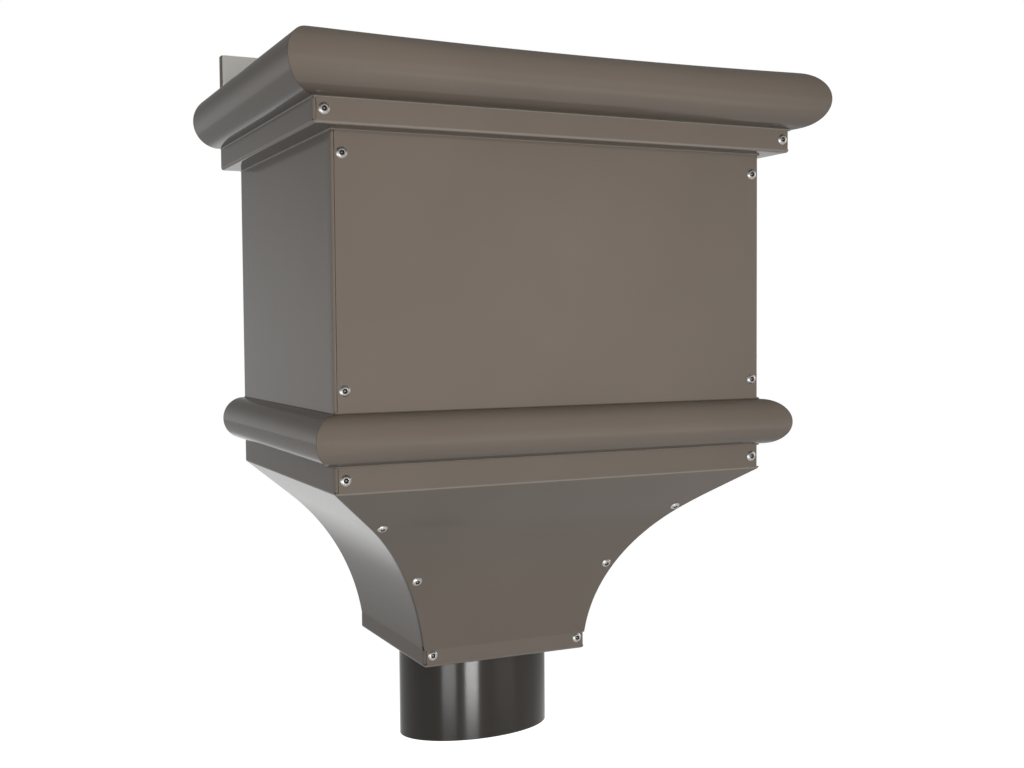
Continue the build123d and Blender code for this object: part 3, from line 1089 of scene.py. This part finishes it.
behind = smooth_step(floor_math("MULTIPLY", sector, far), 0.0, 1.0, 0.0, bright_level)
mirrored = floor_math("ADD", near, behind)
level = tree.nodes.new("ShaderNodeMix")
level.inputs[3].default_value = camera_level
tree.links.new(path.outputs["Is Camera Ray"], level.inputs[0])
tree.links.new(mirrored, level.inputs[2])
mirror_rays = floor_math("MAXIMUM", path.outputs["Is Glossy Ray"], path.outputs["Is Transmission Ray"])
shown = floor_math("MAXIMUM", path.outputs["Is Camera Ray"], mirror_rays)
glow = tree.nodes.new("ShaderNodeEmission")
tree.links.new(floor_math("MULTIPLY", level.outputs[0], shown), glow.inputs["Strength"])
seen = tree.nodes.new("ShaderNodeAddShader")
tree.links.new(shader.outputs["BSDF"], seen.inputs[0])
tree.links.new(glow.outputs["Emission"], seen.inputs[1])
tree.links.new(seen.outputs["Shader"], tree.nodes["Material Output"].inputs["Surface"])
floor_mesh.materials.append(floor_finish)
print(f"floor at z {floor_z} m, gloss sees {back_level} to {back_level + bright_level:.2f} of it behind")

# %% World
world = bpy.data.worlds.new("studio")
bpy.context.scene.world = world
world.use_nodes = True
tree = world.node_tree
horizon_level, horizon_z = 0.55, -0.05
room_level, room_z = 0.17, 0.3
way = tree.nodes.new("ShaderNodeTexCoord")
height = tree.nodes.new("ShaderNodeSeparateXYZ")
tree.links.new(way.outputs["Generated"], height.inputs["Vector"])
glow = tree.nodes.new("ShaderNodeMapRange")
glow.interpolation_type = "SMOOTHSTEP"
glow.inputs["From Min"].default_value = horizon_z
glow.inputs["From Max"].default_value = room_z
glow.inputs["To Min"].default_value = horizon_level
glow.inputs["To Max"].default_value = room_level
tree.links.new(height.outputs["Z"], glow.inputs["Value"])
studio = tree.nodes["Background"]
tree.links.new(glow.outputs["Result"], studio.inputs["Strength"])
studio.inputs["Color"].default_value = (1, 1, 1, 1)
plain = tree.nodes.new("ShaderNodeBackground")
plain.inputs["Color"].default_value = (1, 1, 1, 1)
path = tree.nodes.new("ShaderNodeLightPath")
straight_rays = tree.nodes.new("ShaderNodeMath")
straight_rays.operation = "MAXIMUM"
tree.links.new(path.outputs["Is Camera Ray"], straight_rays.inputs[0])
tree.links.new(path.outputs["Is Transmission Ray"], straight_rays.inputs[1])
seen = tree.nodes.new("ShaderNodeMixShader")
tree.links.new(straight_rays.outputs["Value"], seen.inputs["Fac"])
tree.links.new(studio.outputs["Background"], seen.inputs[1])
tree.links.new(plain.outputs["Background"], seen.inputs[2])
tree.links.new(seen.outputs["Shader"], tree.nodes["World Output"].inputs["Surface"])
print(f"world {horizon_level} at the horizon, {room_level} overhead, white to the camera")

# %% Lamps
def soft_box(name, spot, target, width, height, watts, spread=180):
    """A rectangular lamp that faces a point of the hopper."""
    lamp = bpy.data.lights.new(name, "AREA")
    lamp.shape = "RECTANGLE"
    lamp.size = width
    lamp.size_y = height
    lamp.energy = watts
    lamp.spread = math.radians(spread)
    holder = bpy.data.objects.new(name, lamp)
    holder.location = spot
    holder.rotation_euler = (target - holder.location).to_track_quat("-Z", "Y").to_euler()
    holder.visible_camera = False
    bpy.context.scene.collection.objects.link(holder)
    return holder


waist = Vector((0, y_front, z_waist)) * MM
body_middle = Vector((0, y_front, (z_soffit + z_waist) / 2)) * MM
tube = Vector((0, y_spigot, (z_base + z_mouth) / 2)) * MM
lamps = (
    soft_box("front_box", (-0.28, -1.10, -0.10), body_middle, width=0.70, height=0.45, watts=1.4, spread=62),
    soft_box("low_card", (0.58, -1.15, -0.62), waist, width=0.70, height=0.34, watts=0.25),
    soft_box("back_box", (1.45, 1.00, 0.20), waist, width=0.70, height=0.80, watts=26),
    soft_box("right_box", (1.50, -0.15, 0.05), waist, width=0.80, height=0.80, watts=5),
    soft_box("low_strip", (-0.50, -1.18, -0.62), tube, width=0.40, height=0.30, watts=4.4),
    soft_box("left_strip", (-1.10, -0.72, -0.63), tube, width=0.48, height=0.32, watts=2.0),
)
front_box, low_card, back_box, right_box, low_strip, left_strip = lamps
for box in (front_box, back_box):
    box.visible_glossy = False
shiny = bpy.data.collections.new("shiny")
for piece in (spigot, rivets, pins):
    shiny.objects.link(piece)
for strip in (low_strip, left_strip):
    strip.visible_diffuse = False
    strip.light_linking.receiver_collection = shiny
print("lamps:", ", ".join(f"{lamp.name} {lamp.data.energy:.2f} W" for lamp in lamps))

# %% View transform
bpy.context.scene.view_settings.view_transform = "Standard"
